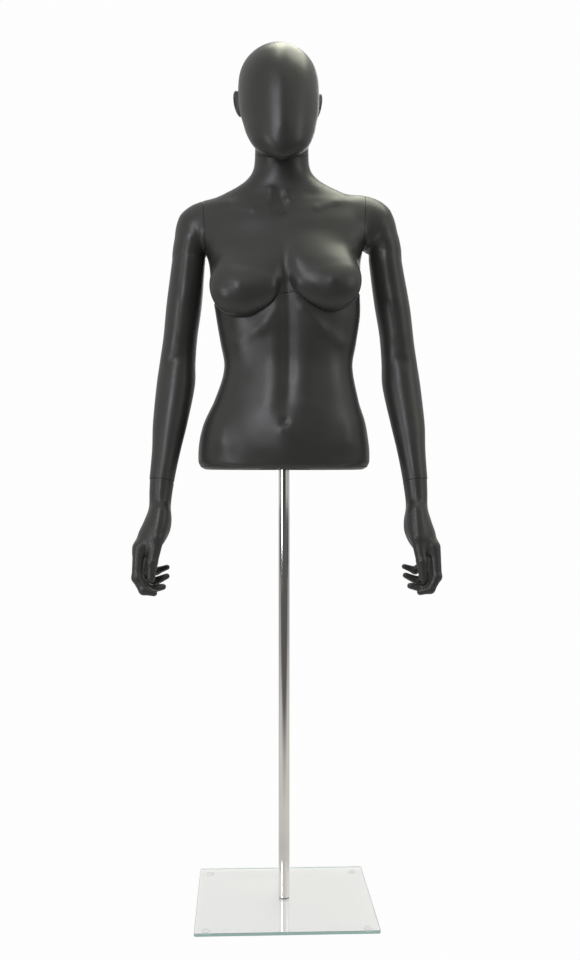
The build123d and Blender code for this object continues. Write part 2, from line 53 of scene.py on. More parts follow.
# ---------------------------------------------------------------- sizes shared with the CAD
RIM_Z = 876.0
SPLIT_Z = 1218.0
SPLIT_ROLL = 4.0
CHEST_ROLL = 1.8
WAIST_X = 8.5
CHEST_X = 2.0
NECK_X = -5.0
NECK_TOP = (NECK_X, -10.0, 1511.0)
NECK_LEAN = 22.0
HEAD_TURN = 3.5
HEAD_X = -13.0
SEAM_GAP = 0.8
SHOULDER_X = 160.0
SHOULDER_Y = 14.0
SHOULDER_Z = 1363.0
SHOULDER_RISE = 4.5
SHOULDER_TILT = 3.4
CAP_DROP = 53.0
WRIST_Z = 854.0
SHELL = 3.4

# ---------------------------------------------------------------- sizes of the skins alone
# The gaps are what shows; the CAD shells stand further apart
SPLIT_GAP = 0.25
BUST_GAP = 2.2
BUST_OUT = 87.0
BUST_Y = -84.0
BUST_Z = 1238.0
BUST_LEAN = 22.0
TIP_OUT = 92.0
TIP_Z = 1234.0
# How much further out the cap of the left shoulder reaches than the right one
CAP_EXTRA = 14.0
# Heights above which the trunk and the arms join, and join softly
CAP_BOTTOM = 1300.0
CAP_JOIN = 1306.0
ARMPIT_X = 165.0
ARMPIT_Z = 1329.0
PALM_END_Z = 702.0
PIN_RADIUS = 5.8
PIN_DEPTH = 24.0
EAR_Y = 14.0
EAR_Z = 1618.0
EAR_OUT = 81.5
EAR_LEAN = 24.0

# ---------------------------------------------------------------- meshing
TRUNK_CELL = 2.6
HEAD_CELL = 2.2
ARM_CELL = 2.4
HAND_CELL = 1.5
HOLLOW_CELL = 3.4
ARM_HOLLOW_CELL = 3.2
SMOOTH_ANGLE = 32
HAND_SMOOTH_ANGLE = 50
# A skin runs past its seam before it is cut there, and its hollow this much further
HOLLOW_FURTHER = 2
PAINT_SLOT = "figure_paint"

# ---------------------------------------------------------------- section tables

# Trunk sections: height, half width, front Y, back Y, squareness
HIPS = [
    (RIM_Z, 173.0, -103, 112, 2.3),
    (920, 172.6, -107, 117, 2.3),
    (968, 163.7, -105, 108, 2.3),
    (1016, 145.0, -98, 89, 2.3),
    (1081, 129.3, -90, 74, 2.25),
    (1130, 136.6, -92, 76, 2.25),
    (1180, 144.6, -97, 82, 2.25),
    (1235, 148.8, -100, 91, 2.25),
]
CHEST = [
    (1195, 146.0, -98, 84, 2.25),
    (1243, 150.0, -100, 92, 2.25),
    (1290, 153.0, -97, 101, 2.3),
    (1318, 161.0, -91, 104, 2.3),
    (1345, 181.0, -82, 104, 2.1),
    (1370, 188.0, -74, 102, 2.0),
    (1394, 182.0, -64, 97, 2.0),
    (1410, 172.0, -58, 92, 2.0),
    (1423, 152.0, -53, 87, 2.0),
    (1436, 122.0, -50, 80, 2.0),
    (1447, 98.0, -49, 74, 2.0),
    (1460, 76.0, -50, 67, 2.0),
    (1476, 61.0, -53, 59, 2.0),
    (1496, 55.0, -58, 50, 2.0),
    (1540, 54.0, -73, 35, 2.0),
    (1600, 54.0, -92, 16, 2.0),
]
HEAD = [
    (1476, 6, -98, -82, 2.0),
    (1482, 19, -106, -70, 2.0),
    (1493, 37, -112, -46, 2.0),
    (1512, 55, -117, -20, 2.0),
    (1539, 67, -119, 10, 2.0),
    (1560, 72, -119, 29, 2.0),
    (1590, 78.5, -117, 52, 2.0),
    (1625, 81, -113, 70, 2.0),
    (1660, 79.5, -105, 79, 2.0),
    (1686, 72.5, -92, 75, 2.0),
    (1707, 58, -74, 61, 2.0),
    (1723, 37, -50, 38, 2.0),
    (1732, 13, -24, 12, 2.0),
    (1734, 3, -12, 0, 2.0),
]
# Arm sections: height, distance out, Y of the middle, half width, half depth
ARM = [
    (780, 254.0, -34, 23.0, 25),
    (835, 247.5, -24, 24.2, 26),
    (875, 242.3, -17, 26.0, 28),
    (919, 236.2, -8, 29.2, 30),
    (968, 230.2, 3, 34.6, 34),
    (1049, 219.6, 22, 39.0, 40),
    (1097, 216.0, 28, 36.3, 39),
    (1146, 210.5, 27, 34.7, 39),
    (1211, 202.6, 22, 36.0, 41),
    (1302, 193.0, 16, 33.5, 43),
]
# Cap of the shoulder round the armpit: angle from upright, outer reach, half depth
CAP = [
    (0, 113, 47),
    (17, 109, 47),
    (31, 102, 47),
    (40, 93, 46),
    (49, 84, 46),
    (59, 76, 45),
    (75, 71, 44),
    (90, 70, 43),
]
# Palm sections: height, distance out, Y, half width, half depth
PALM = [
    (700, 284, -28, 15.0, 34),
    (722, 272, -29, 26.0, 38),
    (750, 260, -31, 30.5, 38),
    (775, 252, -31, 27.0, 33),
    (800, 248.5, -28, 21.8, 27.5),
    (832, 246.5, -24, 23.0, 26),
    (875, 242.3, -17, 26.0, 28),
]
# Fingers: knuckle, two joints and tip as distance out, Y and height, then the radii there
FINGERS = [
    [(287, -59, 722, 12.0), (290, -66, 664, 10.8), (277, -70, 640, 9.4), (257, -69, 634, 6.4)],
    [(289, -39, 720, 12.0), (289, -43, 658, 10.8), (268, -45, 639, 9.4), (241, -45, 644, 6.2)],
    [(287, -18, 724, 11.6), (284, -20, 665, 10.4), (262, -21, 651, 9.0), (235, -22, 663, 5.8)],
    [(281, 2, 732, 10.4), (276, 3, 684, 9.2), (258, 3, 671, 7.8), (236, 2, 679, 5.4)],
    [(245, -47, 792, 16.5), (252, -60, 740, 13.6), (261, -68, 694, 11.2), (263, -71, 662, 8.4)],
]


# ---------------------------------------------------------------- numbers and curves
def ramp(value, low, high):
    """0 below low, 1 above high, and a smooth step between."""
    t = np.clip((value - low) / (high - low), 0, 1)
    return t * t * (3 - 2 * t)


def rows_at(rows, height):
    """The columns of a section table at each height, on smooth curves through its rows."""
    table = np.array(rows, float)
    steps = table[:, 0]
    slopes = np.empty_like(table)
    slopes[1:-1] = (table[2:] - table[:-2]) / (steps[2:] - steps[:-2])[:, None]
    slopes[0] = (table[1] - table[0]) / (steps[1] - steps[0])
    slopes[-1] = (table[-1] - table[-2]) / (steps[-1] - steps[-2])
    at = np.clip(height, steps[0], steps[-1])
    i = np.clip(np.searchsorted(steps, at, side="right") - 1, 0, len(steps) - 2)
    span = steps[i + 1] - steps[i]
    t = (at - steps[i]) / span
    columns = []
    for column in range(1, table.shape[1]):
        low = table[i, column]
        rise = table[i + 1, column] - low
        leave = slopes[i, column] * span
        arrive = slopes[i + 1, column] * span
        bend = 3 * rise - 2 * leave - arrive
        settle = leave + arrive - 2 * rise
        columns.append(low + leave * t + bend * t**2 + settle * t**3)
    return columns


def smooth_min(a, b, reach):
    """Union of two distances with a soft crease of about the reach given."""
    reach = np.maximum(reach, 1e-3)
    h = np.maximum(reach - np.abs(a - b), 0) / reach
    return np.minimum(a, b) - h * h * reach / 4


def round_max(a, b, radius):
    """Common part of two distances with its edge rounded."""
    u = np.maximum(a + radius, 0)
    v = np.maximum(b + radius, 0)
    return np.minimum(np.maximum(a, b), -radius) + np.hypot(u, v)


def edge_reach(u, v, half_width, front, back, square):
    """How far a point is from its section's middle, and how far that section's edge is."""
    w = v - (front + back) / 2
    depth = (back - front) / 2
    length = np.hypot(u, w) + 1e-6
    norm = ((np.abs(u) / half_width) ** square + (np.abs(w) / depth) ** square) ** (1 / square)
    return length, length / (norm + 1e-9)


def section_distance(u, v, height, rows):
    """Distance from a body given by stacked sections, about right near its surface."""
    length, edge = edge_reach(u, v, *rows_at(rows, height))
    above = edge_reach(u, v, *rows_at(rows, height + 1))[1]
    return (length - edge) / np.sqrt(1 + (above - edge) ** 2)


def ellipsoid_distance(q, radii):
    """Distance from an ellipsoid about the origin of q."""
    near = np.linalg.norm(q / radii, axis=1) + 1e-9
    steep = np.linalg.norm(q / np.square(radii), axis=1) + 1e-9
    return near * (near - 1) / steep


def ellipse_distance(u, v, half_width, half_depth):
    """Distance from an ellipse about the origin."""
    return ellipsoid_distance(np.stack([u, v], axis=1), np.stack([half_width, half_depth], axis=1))


def bone_distance(p, start, end):
    """Distance from a tapered round-ended rod; each end is a point and its radius."""
    a = np.array(start[:3], float)
    b = np.array(end[:3], float)
    t = np.clip((p - a) @ (b - a) / ((b - a) @ (b - a)), 0, 1)
    radius = start[3] + (end[3] - start[3]) * t
    return np.linalg.norm(p - a - t[:, None] * (b - a), axis=1) - radius


def marks(u, height, lines):
    """Sum of soft ridges and grooves along lines: two ends, a width and a rise each."""
    total = np.zeros_like(u)
    for u0, z0, u1, z1, width, rise in lines:
        along = np.array((u1 - u0, z1 - z0), float)
        size = max(along @ along, 1e-6)
        t = np.clip(((u - u0) * along[0] + (height - z0) * along[1]) / size, 0, 1)
        gap = (u - u0 - t * along[0]) ** 2 + (height - z0 - t * along[1]) ** 2
        total += rise * np.exp(-gap / width**2)
    return total


def both_sides(lines):
    """The lines of one side together with their mirror images."""
    return lines + [(-u0, z0, -u1, z1, width, rise) for u0, z0, u1, z1, width, rise in lines]


# ---------------------------------------------------------------- seam planes
def unit(vector):
    """Vector of length one."""
    v = np.array(vector, float)
    return v / np.linalg.norm(v)


def above(p, plane, offset=0.0):
    """Signed distance of points over a plane, given as (point, normal)."""
    point, normal = plane
    return (p - np.array(point)) @ normal - offset


def split_plane():
    """Seam between the lower and the upper torso."""
    a = math.radians(SPLIT_ROLL)
    return (0, 0, SPLIT_Z), unit((-math.sin(a), 0, math.cos(a)))


def neck_plane():
    """Seam of the head, square to a neck that leans forward."""
    a = math.radians(NECK_LEAN)
    return NECK_TOP, unit((0, -math.sin(a), math.cos(a)))


def shoulder_plane(side):
    """Seam of one arm, facing away from the body."""
    a = math.radians(SHOULDER_TILT)
    middle = (side * SHOULDER_X, SHOULDER_Y, SHOULDER_Z + side * SHOULDER_RISE)
    return middle, unit((side * math.cos(a), 0, -math.sin(a)))


def spread(side, z):
    """How much further out the left arm hangs than the right at a height."""
    if side < 0:
        return np.zeros_like(z)
    return 14 + 8 * ramp(1340 - z, 0, 190) - 4 * ramp(980 - z, 0, 170) - 9 * ramp(820 - z, 0, 110)


def limb_point(side, out, y, z):
    """Point of a limb on either side, given for the right one."""
    return np.array((side * (out + float(spread(side, np.array(float(z))))), y, z))


def wrist_plane(side):
    """Seam of one hand, facing down the forearm."""
    high = limb_point(side, 238.0, -11, WRIST_Z + 51)
    low = limb_point(side, 249.5, -27, WRIST_Z - 39)
    middle = high + (low - high) * (high[2] - WRIST_Z) / (high[2] - low[2])
    return middle, unit(low - high)


def moved(plane, distance):
    """The plane pushed along its own normal."""
    point, normal = plane
    return np.array(point) + normal * distance, normal


def turned_over(plane):
    """The same plane facing the other way."""
    return plane[0], -plane[1]


# ---------------------------------------------------------------- trunk
def sway(z):
    """How far the middle of the trunk stands to the figure's left at a height."""
    waist = WAIST_X * ramp(z, 930, 1085)
    ribs = (CHEST_X - WAIST_X) * ramp(z, 1170, 1270)
    neck = (NECK_X - CHEST_X) * ramp(z, 1300, 1470)
    return waist + ribs + neck


def trunk_frame(p):
    """Distance aside, depth and height along the rolled trunk; the second round is close enough."""
    x, y, z = p.T
    height = z
    for _ in range(2):
        roll = np.radians(CHEST_ROLL * ramp(height, 1090, 1230))
        height = z - (x - sway(height)) * np.tan(roll)
    return (x - sway(height)) / np.cos(roll), y, height


def trunk_distance(p, rows):
    """Distance from the plain trunk."""
    return section_distance(*trunk_frame(p), rows)


# Relief lines: aside and height of both ends, width, rise
BELLY_MARKS = [
    (-4, 1236, -4, 1060, 13, -1.5),
    (-4, 1236, -4, 1015, 13, -1.1),
    (-4, 1236, -4, 978, 12, -1.0),
    (0, 940, 0, 900, 36, 4.0),
    (-3, 968, -3, 965, 7, -3.0),
    (0, 953, 0, 951, 9, 2.0),
] + both_sides([
    (38, 1150, 34, 1010, 24, 2.6),
    (28, 1188, 60, 1150, 12, 2.2),
    (60, 1150, 104, 1126, 14, 1.4),
    (80, 1085, 95, 1040, 26, 1.2),
    (126, 955, 126, 935, 20, 3.0),
    (92, 905, 66, 884, 18, -1.4),
])
BACK_MARKS = [
    (0, 1430, 0, 1010, 10, -4.5),
    (0, 975, 0, 870, 9, -11.0),
] + both_sides([
    (24, 1300, 26, 1010, 14, 2.6),
    (62, 925, 58, 900, 34, 6.0),
    (40, 1000, 40, 1000, 7, -2.2),
    (58, 1380, 92, 1330, 24, 4.0),
    (62, 1296, 100, 1330, 12, -2.2),
    (96, 1180, 70, 1080, 20, 1.6),
])
CHEST_MARKS = [
    (-7, 1411, -7, 1388, 14, -3.5),
    (-6, 1384, -6, 1350, 20, -0.8),
    (-24, 1430, -23, 1420, 9, 1.8),
    (9, 1421, 9, 1412, 8, 1.8),
] + both_sides([
    (26, 1392, 64, 1391, 8, 0.6),
    (64, 1391, 108, 1406, 8, 1.4),
    (108, 1406, 148, 1416, 10, 1.0),
    (58, 1420, 100, 1426, 14, -1.4),
])


def body_marks(p):
    """Muscle, bone and navel relief of the trunk, as heights over the plain form."""
    u, v, height = trunk_frame(p)
    front = ramp(-v, 8, 40)
    back = ramp(v, 8, 40)
    return front * marks(u, height, BELLY_MARKS + CHEST_MARKS) + back * marks(u, height, BACK_MARKS)


def seam_lift(side):
    """How much higher the tilted waist seam stands under one breast than in the middle."""
    return side * BUST_OUT * math.tan(math.radians(SPLIT_ROLL))


def bust_distance(p):
    """The two breasts, drawn out upwards and inwards, with the valley between them."""
    lean = math.radians(BUST_LEAN)
    best = np.full(len(p), 1e3)
    for side in (-1, 1):
        q = p - np.array((side * BUST_OUT, BUST_Y, BUST_Z + seam_lift(side)))
        inwards = -side * q[:, 0]
        over = (q[:, 2] + np.hypot(q[:, 2], 24)) / 2 - 12
        depth = q[:, 1] - 0.38 * over
        drawn = inwards * math.cos(lean) + q[:, 2] * math.sin(lean)
        across = q[:, 2] * math.cos(lean) - inwards * math.sin(lean)
        radii = np.stack([
            np.where(drawn > 0, 112.0, 61.0),
            np.where(depth < 0, 42.0, 75.0),
            np.where(across > 0, 66.0, 61.0),
        ], axis=1)
        breast = ellipsoid_distance(np.stack([drawn, depth, across], axis=1), radii)
        best = smooth_min(best, breast, 6)
    valley = 12 * np.exp(-(((p[:, 0] + 2) / 14) ** 2))
    return best + valley


def tip_marks(p):
    """Soft point of each breast."""
    total = np.zeros(len(p))
    for side in (-1, 1):
        gap = (p[:, 0] - side * TIP_OUT) ** 2 + (p[:, 2] - TIP_Z - seam_lift(side)) ** 2
        total += 1.5 * np.exp(-gap / 11.0**2)
    return total * ramp(-p[:, 1], 80, 110)


def hips_solid(p):
    """Lower torso with its rounded lower edge."""
    u = np.abs(trunk_frame(p)[0])
    return round_max(trunk_distance(p, HIPS), RIM_Z - p[:, 2], 10 + 9 * ramp(u, 70, 170))


def over_seam(p):
    """Height over the lower edge of the upper torso, which closes up in the middle of the front."""
    u, v, _ = trunk_frame(p)
    middle = ramp(-v, 50, 70) * (1 - ramp(np.abs(u), 16, 40))
    return above(p, split_plane(), SPLIT_GAP) + 2.4 * middle


def ribs_solid(p):
    """Upper trunk above the split, its lower edge rolled in at the sides."""
    u = np.abs(trunk_frame(p)[0])
    return round_max(trunk_distance(p, CHEST), -over_seam(p), 0.4 + 13 * ramp(u, 108, 144))


# ---------------------------------------------------------------- arms
def arm_distance(p, side):
    """One arm with the cap of its shoulder, which fades out towards the neck."""
    tilt = math.radians(SHOULDER_TILT)
    hinge_out = SHOULDER_X - CAP_DROP * math.sin(tilt)
    hinge_z = SHOULDER_Z + side * SHOULDER_RISE - CAP_DROP * math.cos(tilt)
    x, y, z = p.T
    out = side * x

    middle, arm_y, half_width, half_depth = rows_at(ARM, z)
    hang = ellipse_distance(out - middle - spread(side, z), y - arm_y, half_width, half_depth)

    aside = out - hinge_out
    rise = z - hinge_z
    turn = np.clip(np.arctan2(aside, rise), 0, math.pi / 2)
    away = np.where(aside > 0, np.hypot(aside, rise), rise)
    outer, depth = rows_at(CAP, np.degrees(turn))
    if side > 0:
        outer = outer + CAP_EXTRA - 6 * np.cos(turn) ** 2
    pit = ARM[-1][1] - ARM[-1][3] + float(spread(side, np.array(hinge_z))) - hinge_out
    inner = 2 + (pit - 2) * ramp(turn, 0.4, math.pi / 2)
    cap_y = SHOULDER_Y + 2 * np.sin(turn)
    cap = ellipse_distance(away - (outer + inner) / 2, y - cap_y, (outer - inner) / 2, depth)
    towards_neck = -14 - aside
    shrink = 0.45 * (towards_neck + np.hypot(towards_neck, 14)) / 2
    return np.where(rise > 0, cap + shrink, hang)


def arm_relief(p, side):
    """Swell of the upper arm, and the point and the fold of the elbow."""
    x, y, z = p.T
    out = side * x - spread(side, z)
    middle, arm_y = rows_at(ARM, z)[:2]
    back = ramp(y - arm_y, 4, 30)
    front = ramp(arm_y - y, 4, 30)
    side_on = out - middle
    elbow = marks(side_on, z, [(-4, 1072, 2, 1060, 12, 4.5), (-20, 1068, -18, 1050, 9, -2.2)])
    biceps = marks(side_on, z, [(0, 1215, 0, 1155, 26, 3.0), (-2, 1098, 8, 1094, 12, -2.0)])
    return back * elbow + front * biceps


def hand_distance(p, side):
    """Half-closed hand with its thumb along the front."""
    x, y, z = p.T
    middle, palm_y, half_width, half_depth = rows_at(PALM, z)
    palm = ellipse_distance(side * x - middle - spread(side, z), y - palm_y, half_width, half_depth)
    palm = round_max(palm, PALM_END_Z - z, 8)
    digits = None
    for joints in FINGERS:
        points = [(*limb_point(side, out, fy, fz), r) for out, fy, fz, r in joints]
        digit = bone_distance(p, points[0], points[1])
        for start, end in zip(points[1:], points[2:]):
            digit = smooth_min(digit, bone_distance(p, start, end), 4)
        digits = digit if digits is None else smooth_min(digits, digit, 1.2)
    return smooth_min(palm, digits, 12)


# ---------------------------------------------------------------- whole surfaces
def armpit_distance(p):
    """Wedge of air that runs up into the left armpit."""
    slope = 0.5
    half_width = np.minimum(slope * (ARMPIT_Z - p[:, 2]), 6.5)
    return (np.abs(p[:, 0] - ARMPIT_X) - half_width) / math.hypot(1, slope)


def joined_above_armpit(p, body, other):
    """Two bodies that flow into each other above the armpits and not below them."""
    z = p[:, 2]
    apart = 40 * (1 - ramp(z, CAP_BOTTOM, 1318))
    return smooth_min(body, other + apart, 18 * ramp(z, CAP_JOIN, 1380))


def chest_plain(p):
    """Upper torso before its small relief."""
    body = ribs_solid(p)
    for side in (-1, 1):
        body = joined_above_armpit(p, body, arm_distance(p, side))
    body = round_max(body, -armpit_distance(p), 2)
    body = smooth_min(body, bust_distance(p), 7 + 30 * ramp(p[:, 2], 1225, 1290))
    hidden = np.maximum(trunk_distance(p, HIPS) - BUST_GAP, over_seam(p))
    return round_max(body, -hidden, 3.0)


def chest_field(p):
    """Upper torso as it is seen."""
    off_bust = 1 - 0.8 * ramp(10 - bust_distance(p), 0, 20)
    return chest_plain(p) - body_marks(p) * off_bust - tip_marks(p)


def hips_field(p):
    """Lower torso as it is seen."""
    return hips_solid(p) - body_marks(p)


def arm_plain(p, side):
    """One arm, with the part of the trunk that lies beyond the seam."""
    arm = joined_above_armpit(p, arm_distance(p, side), trunk_distance(p, CHEST))
    return round_max(arm, -armpit_distance(p), 2)


def skull_frame(p):
    """Points turned with the head about its own upright axis."""
    a = math.radians(HEAD_TURN)
    x = p[:, 0] - HEAD_X
    u = x * math.cos(a) + p[:, 1] * math.sin(a)
    v = p[:, 1] * math.cos(a) - x * math.sin(a)
    return u, v, p[:, 2]


def ear_distance(u, v, height, side):
    """One thin ear that leans out towards the back and the top."""
    a = math.radians(EAR_LEAN)
    rise = height - EAR_Z
    out = side * (u - 2.5) - EAR_OUT - 0.22 * rise
    along = v - EAR_Y
    q = np.stack([
        out * math.cos(a) - along * math.sin(a),
        out * math.sin(a) + along * math.cos(a),
        rise,
    ], axis=1)
    leaf = ellipsoid_distance(q, np.array((6.0, 15.0, 27.0)))
    bowl = ellipsoid_distance(q - np.array((6.0, 2.0, 3.0)), np.array((4.0, 7.0, 13.0)))
    return -smooth_min(-leaf, bowl, 3)


def head_plain(p):
    """Egg-shaped head on its length of neck."""
    u, v, height = skull_frame(p)
    egg = section_distance(u, v, height, HEAD)
    egg = np.maximum(egg, np.maximum(1474 - height, height - 1735))
    neck = np.maximum(trunk_distance(p, CHEST), -above(p, neck_plane(), -8))
    neck = np.maximum(neck, p[:, 2] - 1580)
    return smooth_min(egg, neck, 6 + 14 * ramp(above(p, neck_plane()), 0, 30))


def head_field(p):
    """Head as it is seen."""
    u, v, height = skull_frame(p)
    whole = head_plain(p) - ramp(-v, 30, 80) * marks(u, height, [(0, 1630, 0, 1540, 15, 1.4)])
    for side in (-1, 1):
        whole = smooth_min(whole, ear_distance(u, v, height, side), 5)
    return whole


# ---------------------------------------------------------------- meshing
def sample_grid(field, low, high, cell):
    """Field values on a regular grid, worked out one slab at a time."""
    axes = [np.arange(a, b + cell, cell) for a, b in zip(low, high)]
    values = np.empty([len(a) for a in axes])
    x, y = np.meshgrid(axes[0], axes[1], indexing="ij")
    depth = 16
    for k in range(0, len(axes[2]), depth):
        heights = axes[2][k:k + depth]
        xs = np.repeat(x[:, :, None], len(heights), axis=2)
        ys = np.repeat(y[:, :, None], len(heights), axis=2)
        zs = np.broadcast_to(heights, xs.shape)
        points = np.stack([xs.ravel(), ys.ravel(), zs.ravel()], axis=1)
        values[:, :, k:k + depth] = field(points).reshape(xs.shape)
    return values


def surface_net(values, low, cell):
    """Quads that follow the zero level of a grid of values, one point to a mixed cell."""
    inside = values < 0
    size = np.array(values.shape) - 1
    corners = [np.array((i, j, k)) for i in (0, 1) for j in (0, 1) for k in (0, 1)]
    count = np.zeros(size, np.int8)
    for i, j, k in corners:
        count += inside[i:size[0] + i, j:size[1] + j, k:size[2] + k]
    mixed = (count > 0) & (count < 8)
    cells = np.argwhere(mixed)
    index = np.full(size, -1)
    index[mixed] = np.arange(len(cells))

    place = np.zeros((len(cells), 3))
    hits = np.zeros(len(cells))
    for a in corners:
        for axis in range(3):
            if a[axis]:
                continue
            b = a.copy()
            b[axis] = 1
            va = values[tuple((cells + a).T)]
            vb = values[tuple((cells + b).T)]
            crossed = (va < 0) != (vb < 0)
            t = va[crossed] / (va[crossed] - vb[crossed])
            place[crossed] += a + (b - a) * t[:, None]
            hits[crossed] += 1
    points = np.array(low) + (cells + place / hits[:, None]) * cell

    quads = []
    for axis in range(3):
        side, up = (axis + 1) % 3, (axis + 2) % 3
        step = np.eye(3, dtype=int)
        near = [slice(1, -1)] * 3
        far = [slice(1, -1)] * 3
        near[axis] = slice(0, -1)
        far[axis] = slice(1, None)
        change = inside[tuple(near)] != inside[tuple(far)]
        nodes = np.argwhere(change) + 1
        nodes[:, axis] -= 1
        ring = [nodes - step[side] - step[up], nodes - step[up], nodes, nodes - step[side]]
        quad = np.stack([index[tuple(c.T)] for c in ring], axis=1)
        outward = inside[tuple(nodes.T)]
        quad[~outward] = quad[~outward][:, ::-1]
        quads.append(quad)
    return points, np.concatenate(quads)


def settle(points, field, rounds, longest=2.0):
    """Moves points onto the zero level of a field, straight up or down its slope."""
    step = 0.25
    for _ in range(rounds):
        value = field(points)
        slope = np.empty_like(points)
        for axis in range(3):
            shift = np.zeros(3)
            shift[axis] = step
            slope[:, axis] = (field(points + shift) - field(points - shift)) / (2 * step)
        size = np.maximum((slope**2).sum(axis=1), 0.05)
        move = -slope * (value / size)[:, None]
        length = np.linalg.norm(move, axis=1)
        move *= np.minimum(1, longest / np.maximum(length, 1e-9))[:, None]
        points = points + move
    return points


def relax(points, quads):
    """Moves each point half-way to the middle of its neighbours."""
    ends = np.concatenate([quads, np.roll(quads, 1, axis=1)])
    others = np.concatenate([np.roll(quads, -1, axis=1), quads])
    total = np.zeros_like(points)
    for axis in range(3):
        total[:, axis] = np.bincount(ends.ravel(), points[others.ravel(), axis], len(points))
    number = np.bincount(ends.ravel(), minlength=len(points))
    return points + 0.5 * (total / number[:, None] - points)


def skin(field, low, high, cell, detail=None):
    """Even quad mesh of a field, settled on the detailed field where one is given."""
    points, quads = surface_net(sample_grid(field, low, high, cell), low, cell)
    for _ in range(3):
        points = settle(relax(points, quads), field, 1)
    points = settle(points, detail or field, 2)
    return relax(relax(points, quads), quads), quads


def cut(mesh, plane):
    """Cuts away what lies beyond a plane in millimetres, and closes the mesh there."""
    point, normal = plane
    found = bmesh.ops.bisect_plane(
        mesh,
        geom=mesh.verts[:] + mesh.edges[:] + mesh.faces[:],
        plane_co=Vector(point),
        plane_no=Vector(normal),
        clear_outer=True,
    )
    rim = [g for g in found["geom_cut"] if isinstance(g, bmesh.types.BMEdge) and g.is_valid]
    bmesh.ops.triangle_fill(mesh, use_beauty=True, edges=rim, normal=Vector(normal))


def piece(name, skins, cuts, body, node, smooth=SMOOTH_ANGLE):
    """Object made of closed skins, cut at its seams, tied to its body and replacing its node."""
    mesh = bmesh.new()
    for points, quads in skins:
        verts = [mesh.verts.new(p) for p in points]
        for quad in quads:
            mesh.faces.new([verts[i] for i in quad])
    for plane in cuts:
        cut(mesh, plane)
    bmesh.ops.scale(mesh, vec=(MM, MM, MM), verts=mesh.verts)
    data = bpy.data.meshes.new(name)
    mesh.to_mesh(data)
    mesh.free()
    data.shade_smooth()
    data.set_sharp_from_angle(angle=math.radians(smooth))
    thing = bpy.data.objects.new(name, data)
    bpy.context.scene.collection.objects.link(thing)
    data.materials.append(materials[PAINT_SLOT])
    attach(thing, body)
    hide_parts(node)


def within(p, value, seams, past):
    """A distance stopped a little past each seam, where the cut then closes the skin."""
    for plane in seams:
        value = np.maximum(value, above(p, plane, past))
    return value


def inward(skin_parts):
    """The same skin facing into the hollow."""
    points, quads = skin_parts
    return points, quads[:, ::-1]


# ---------------------------------------------------------------- materials
class Shader:
    """A node material that is built up from its Principled shader."""

    def __init__(self, name):
        self.material = bpy.data.materials.new(name)
        self.material.use_nodes = True
        self.nodes = self.material.node_tree.nodes
        self.links = self.material.node_tree.links
        self.surface = self.nodes["Principled BSDF"]
        self.place = self.nodes.new("ShaderNodeTexCoord").outputs["Object"]

    def set(self, **values):
        """Sets sockets of the Principled shader that are the same all over."""
        for name, value in values.items():
            self.surface.inputs[name.replace("_", " ")].default_value = value

    def noise(self, scale, detail=3.0, stretch=(1, 1, 1)):
        """Noise in the object's own space, in cycles to the metre."""
        mapping = self.nodes.new("ShaderNodeMapping")
        mapping.inputs["Scale"].default_value = stretch
        self.links.new(self.place, mapping.inputs["Vector"])
        texture = self.nodes.new("ShaderNodeTexNoise")
        texture.inputs["Scale"].default_value = scale
        texture.inputs["Detail"].default_value = detail
        self.links.new(mapping.outputs["Vector"], texture.inputs["Vector"])
        return texture.outputs["Fac"]

    def between(self, factor, low, high, low_at=0.3, high_at=0.7):
        """Turns a 0 to 1 pattern into a number between low and high."""
        node = self.nodes.new("ShaderNodeMapRange")
        node.inputs["From Min"].default_value = low_at
        node.inputs["From Max"].default_value = high_at
        node.inputs["To Min"].default_value = low
        node.inputs["To Max"].default_value = high
        self.links.new(factor, node.inputs["Value"])
        return node.outputs["Result"]

    def colours(self, factor, first, second, first_at=0.35, second_at=0.65):
        """Turns a 0 to 1 pattern into a colour between two."""
        node = self.nodes.new("ShaderNodeValToRGB")
        node.color_ramp.elements[0].position = first_at
        node.color_ramp.elements[1].position = second_at
        node.color_ramp.elements[0].color = (*first, 1)
        node.color_ramp.elements[1].color = (*second, 1)
        self.links.new(factor, node.inputs["Fac"])
        return node.outputs["Color"]

    def bump(self, factor, distance, strength=1.0):
        """Small relief from a pattern; distance is in metres."""
        node = self.nodes.new("ShaderNodeBump")
        node.inputs["Strength"].default_value = strength
        node.inputs["Distance"].default_value = distance
        self.links.new(factor, node.inputs["Height"])
        self.links.new(node.outputs["Normal"], self.surface.inputs["Normal"])

    def part_of(self, vector, axis):
        """One of the three numbers of a vector."""
        node = self.nodes.new("ShaderNodeSeparateXYZ")
        self.links.new(vector, node.inputs["Vector"])
        return node.outputs[axis]

    def maths(self, operation, *values):
        """Result of a sum or another operation on one or two outputs."""
        node = self.nodes.new("ShaderNodeMath")
        node.operation = operation
        for socket, value in zip(node.inputs, values):
            self.links.new(value, socket)
        return node.outputs["Value"]

    def feed(self, output, socket):
        """Drives one socket of the Principled shader."""
        self.links.new(output, self.surface.inputs[socket])


def figure_paint():
    """Charcoal satin lacquer, faintly mottled, with a fine orange-peel surface."""
    m = Shader("figure_paint")
    m.feed(m.colours(m.noise(9), (0.031, 0.031, 0.028), (0.037, 0.037, 0.0325)), "Base Color")
    m.feed(m.between(m.noise(26), 0.33, 0.41), "Roughness")
    m.bump(m.noise(420, 2.0), 0.00004, 0.5)
    return m.material


